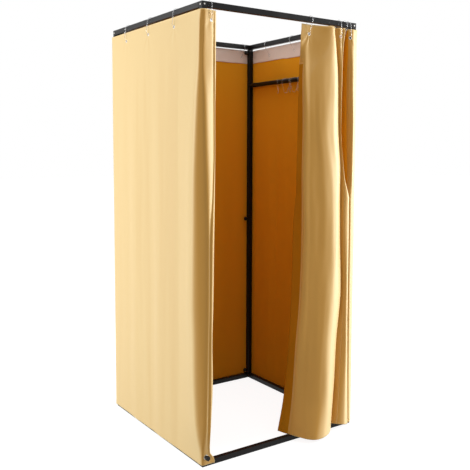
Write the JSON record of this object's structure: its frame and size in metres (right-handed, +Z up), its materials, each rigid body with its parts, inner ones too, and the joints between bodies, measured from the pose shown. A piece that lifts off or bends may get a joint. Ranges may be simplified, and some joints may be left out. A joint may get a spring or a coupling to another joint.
{
  "type": "portable fitting room",
  "caption": "Free-standing fitting room: a knock-down black square-tube frame with gold satin curtains on clear rings, a sliding doorway curtain and a garment bar inside.",
  "frame": {"origin": "centre of the whole footprint on the floor, folds of the doorway curtain and rings included", "axes": "+Z up, doorway faces -Y, +X to the right seen from the doorway"},
  "size_m": [0.9104, 0.988, 2.0069],
  "materials": {
    "black_steel": "satin black powder coat on square steel tube",
    "black_plastic": "black moulded plastic, lightly grained",
    "gold_satin": "gold satin curtain cloth, soft sheen",
    "pale_lining": "pale header lining tape",
    "clear_plastic": "clear glossy plastic",
    "bright_metal": "bright nickel-plated eyelets and screw heads"
  },
  "bodies": {
    "frame": {"corner_front_left_bottom": "black_plastic", "corner_front_right_bottom": "black_plastic", "corner_back_right_bottom": "black_plastic", "corner_back_left_bottom": "black_plastic", "corner_front_left_top": "black_plastic", "corner_front_right_top": "black_plastic", "corner_back_right_top": "black_plastic", "corner_back_left_top": "black_plastic", "post_front_left_lower": "black_steel", "post_front_left_upper": "black_steel", "post_front_right_lower": "black_steel", "post_front_right_upper": "black_steel", "post_back_right_lower": "black_steel", "post_back_right_upper": "black_steel", "post_back_left_lower": "black_steel", "post_back_left_upper": "black_steel", "rail_front_bottom": "black_steel", "rail_right_bottom": "black_steel", "rail_back_bottom": "black_steel", "rail_left_bottom": "black_steel", "rail_front_top": "black_steel", "rail_right_top": "black_steel", "rail_back_top": "black_steel", "rail_left_top": "black_steel", "garment_bar": "black_steel", "curtain_left": "gold_satin", "curtain_back": "gold_satin", "curtain_right": "gold_satin", "ring_wrap": "clear_plastic", "ring_end": "clear_plastic", "ring_left_1": "clear_plastic", "ring_left_2": "clear_plastic", "ring_left_3": "clear_plastic", "ring_back_1": "clear_plastic", "ring_back_2": "clear_plastic", "ring_back_3": "clear_plastic", "ring_back_4": "clear_plastic", "ring_right_1": "clear_plastic", "ring_right_2": "clear_plastic", "ring_right_3": "clear_plastic"},
    "door_third": {"door_curtain_third": "gold_satin", "door_ring_third": "clear_plastic"},
    "door_second": {"door_curtain_second": "gold_satin", "door_ring_second": "clear_plastic"},
    "door_lead": {"door_curtain_lead": "gold_satin", "door_ring_lead": "clear_plastic"},
    "knob_front_left_bottom": {"knob_front_left_bottom": "black_plastic"},
    "knob_front_left_middle": {"knob_front_left_middle": "black_plastic"},
    "knob_front_left_top": {"knob_front_left_top": "black_plastic"},
    "knob_front_right_bottom": {"knob_front_right_bottom": "black_plastic"},
    "knob_front_right_middle": {"knob_front_right_middle": "black_plastic"},
    "knob_front_right_top": {"knob_front_right_top": "black_plastic"},
    "knob_back_right_bottom": {"knob_back_right_bottom": "black_plastic"},
    "knob_back_right_middle": {"knob_back_right_middle": "black_plastic"},
    "knob_back_right_top": {"knob_back_right_top": "black_plastic"},
    "knob_back_left_bottom": {"knob_back_left_bottom": "black_plastic"},
    "knob_back_left_middle": {"knob_back_left_middle": "black_plastic"},
    "knob_back_left_top": {"knob_back_left_top": "black_plastic"},
    "bar_ring_1": {"bar_ring_1": "clear_plastic"},
    "bar_ring_2": {"bar_ring_2": "clear_plastic"}
  },
  "joints": [
    {"name": "third_slide", "type": "slide", "parent": "frame", "child": "door_third", "axis": [-1, 0, 0], "range_m": [0, 0.204]},
    {"name": "second_slide", "type": "slide", "parent": "door_third", "child": "door_second", "axis": [-1, 0, 0], "range_m": [0, 0.188]},
    {"name": "lead_slide", "type": "slide", "parent": "door_second", "child": "door_lead", "axis": [-1, 0, 0], "range_m": [0, 0.048]},
    {"name": "knob_front_left_bottom_turn", "type": "hinge", "parent": "frame", "child": "knob_front_left_bottom", "pos_m": [-0.425, -0.40125, 0.045], "axis": [0, -1, 0], "continuous": true},
    {"name": "knob_front_left_middle_turn", "type": "hinge", "parent": "frame", "child": "knob_front_left_middle", "pos_m": [-0.4275, -0.37625, 0.975], "axis": [0, 1, 0], "continuous": true},
    {"name": "knob_front_left_top_turn", "type": "hinge", "parent": "frame", "child": "knob_front_left_top", "pos_m": [-0.4275, -0.37625, 1.955], "axis": [0, 1, 0], "continuous": true},
    {"name": "knob_front_right_bottom_turn", "type": "hinge", "parent": "frame", "child": "knob_front_right_bottom", "pos_m": [0.4275, -0.37625, 0.045], "axis": [0, 1, 0], "continuous": true},
    {"name": "knob_front_right_middle_turn", "type": "hinge", "parent": "frame", "child": "knob_front_right_middle", "pos_m": [0.4275, -0.37625, 0.975], "axis": [0, 1, 0], "continuous": true},
    {"name": "knob_front_right_top_turn", "type": "hinge", "parent": "frame", "child": "knob_front_right_top", "pos_m": [0.4275, -0.37625, 1.955], "axis": [0, 1, 0], "continuous": true},
    {"name": "knob_back_right_bottom_turn", "type": "hinge", "parent": "frame", "child": "knob_back_right_bottom", "pos_m": [0.415, 0.46625, 0.045], "axis": [-1, 0, 0], "continuous": true},
    {"name": "knob_back_right_middle_turn", "type": "hinge", "parent": "frame", "child": "knob_back_right_middle", "pos_m": [0.415, 0.46625, 0.975], "axis": [-1, 0, 0], "continuous": true},
    {"name": "knob_back_right_top_turn", "type": "hinge", "parent": "frame", "child": "knob_back_right_top", "pos_m": [0.415, 0.46625, 1.955], "axis": [-1, 0, 0], "continuous": true},
    {"name": "knob_back_left_bottom_turn", "type": "hinge", "parent": "frame", "child": "knob_back_left_bottom", "pos_m": [-0.415, 0.46625, 0.045], "axis": [1, 0, 0], "continuous": true},
    {"name": "knob_back_left_middle_turn", "type": "hinge", "parent": "frame", "child": "knob_back_left_middle", "pos_m": [-0.415, 0.46625, 0.975], "axis": [1, 0, 0], "continuous": true},
    {"name": "knob_back_left_top_turn", "type": "hinge", "parent": "frame", "child": "knob_back_left_top", "pos_m": [-0.415, 0.46625, 1.955], "axis": [1, 0, 0], "continuous": true},
    {"name": "bar_ring_1_swing", "type": "hinge", "parent": "frame", "child": "bar_ring_1", "pos_m": [0.4275, 0.19627, 1.766], "axis": [0, 1, 0], "range_deg": [0, 60]},
    {"name": "bar_ring_2_swing", "type": "hinge", "parent": "frame", "child": "bar_ring_2", "pos_m": [0.4275, 0.12675, 1.766], "axis": [0, 1, 0], "range_deg": [0, 60]}
  ],
  "couplings": [
    {"joint": "second_slide", "follows": "third_slide", "ratio": 0.9215},
    {"joint": "lead_slide", "follows": "third_slide", "ratio": 0.2352}
  ]
}
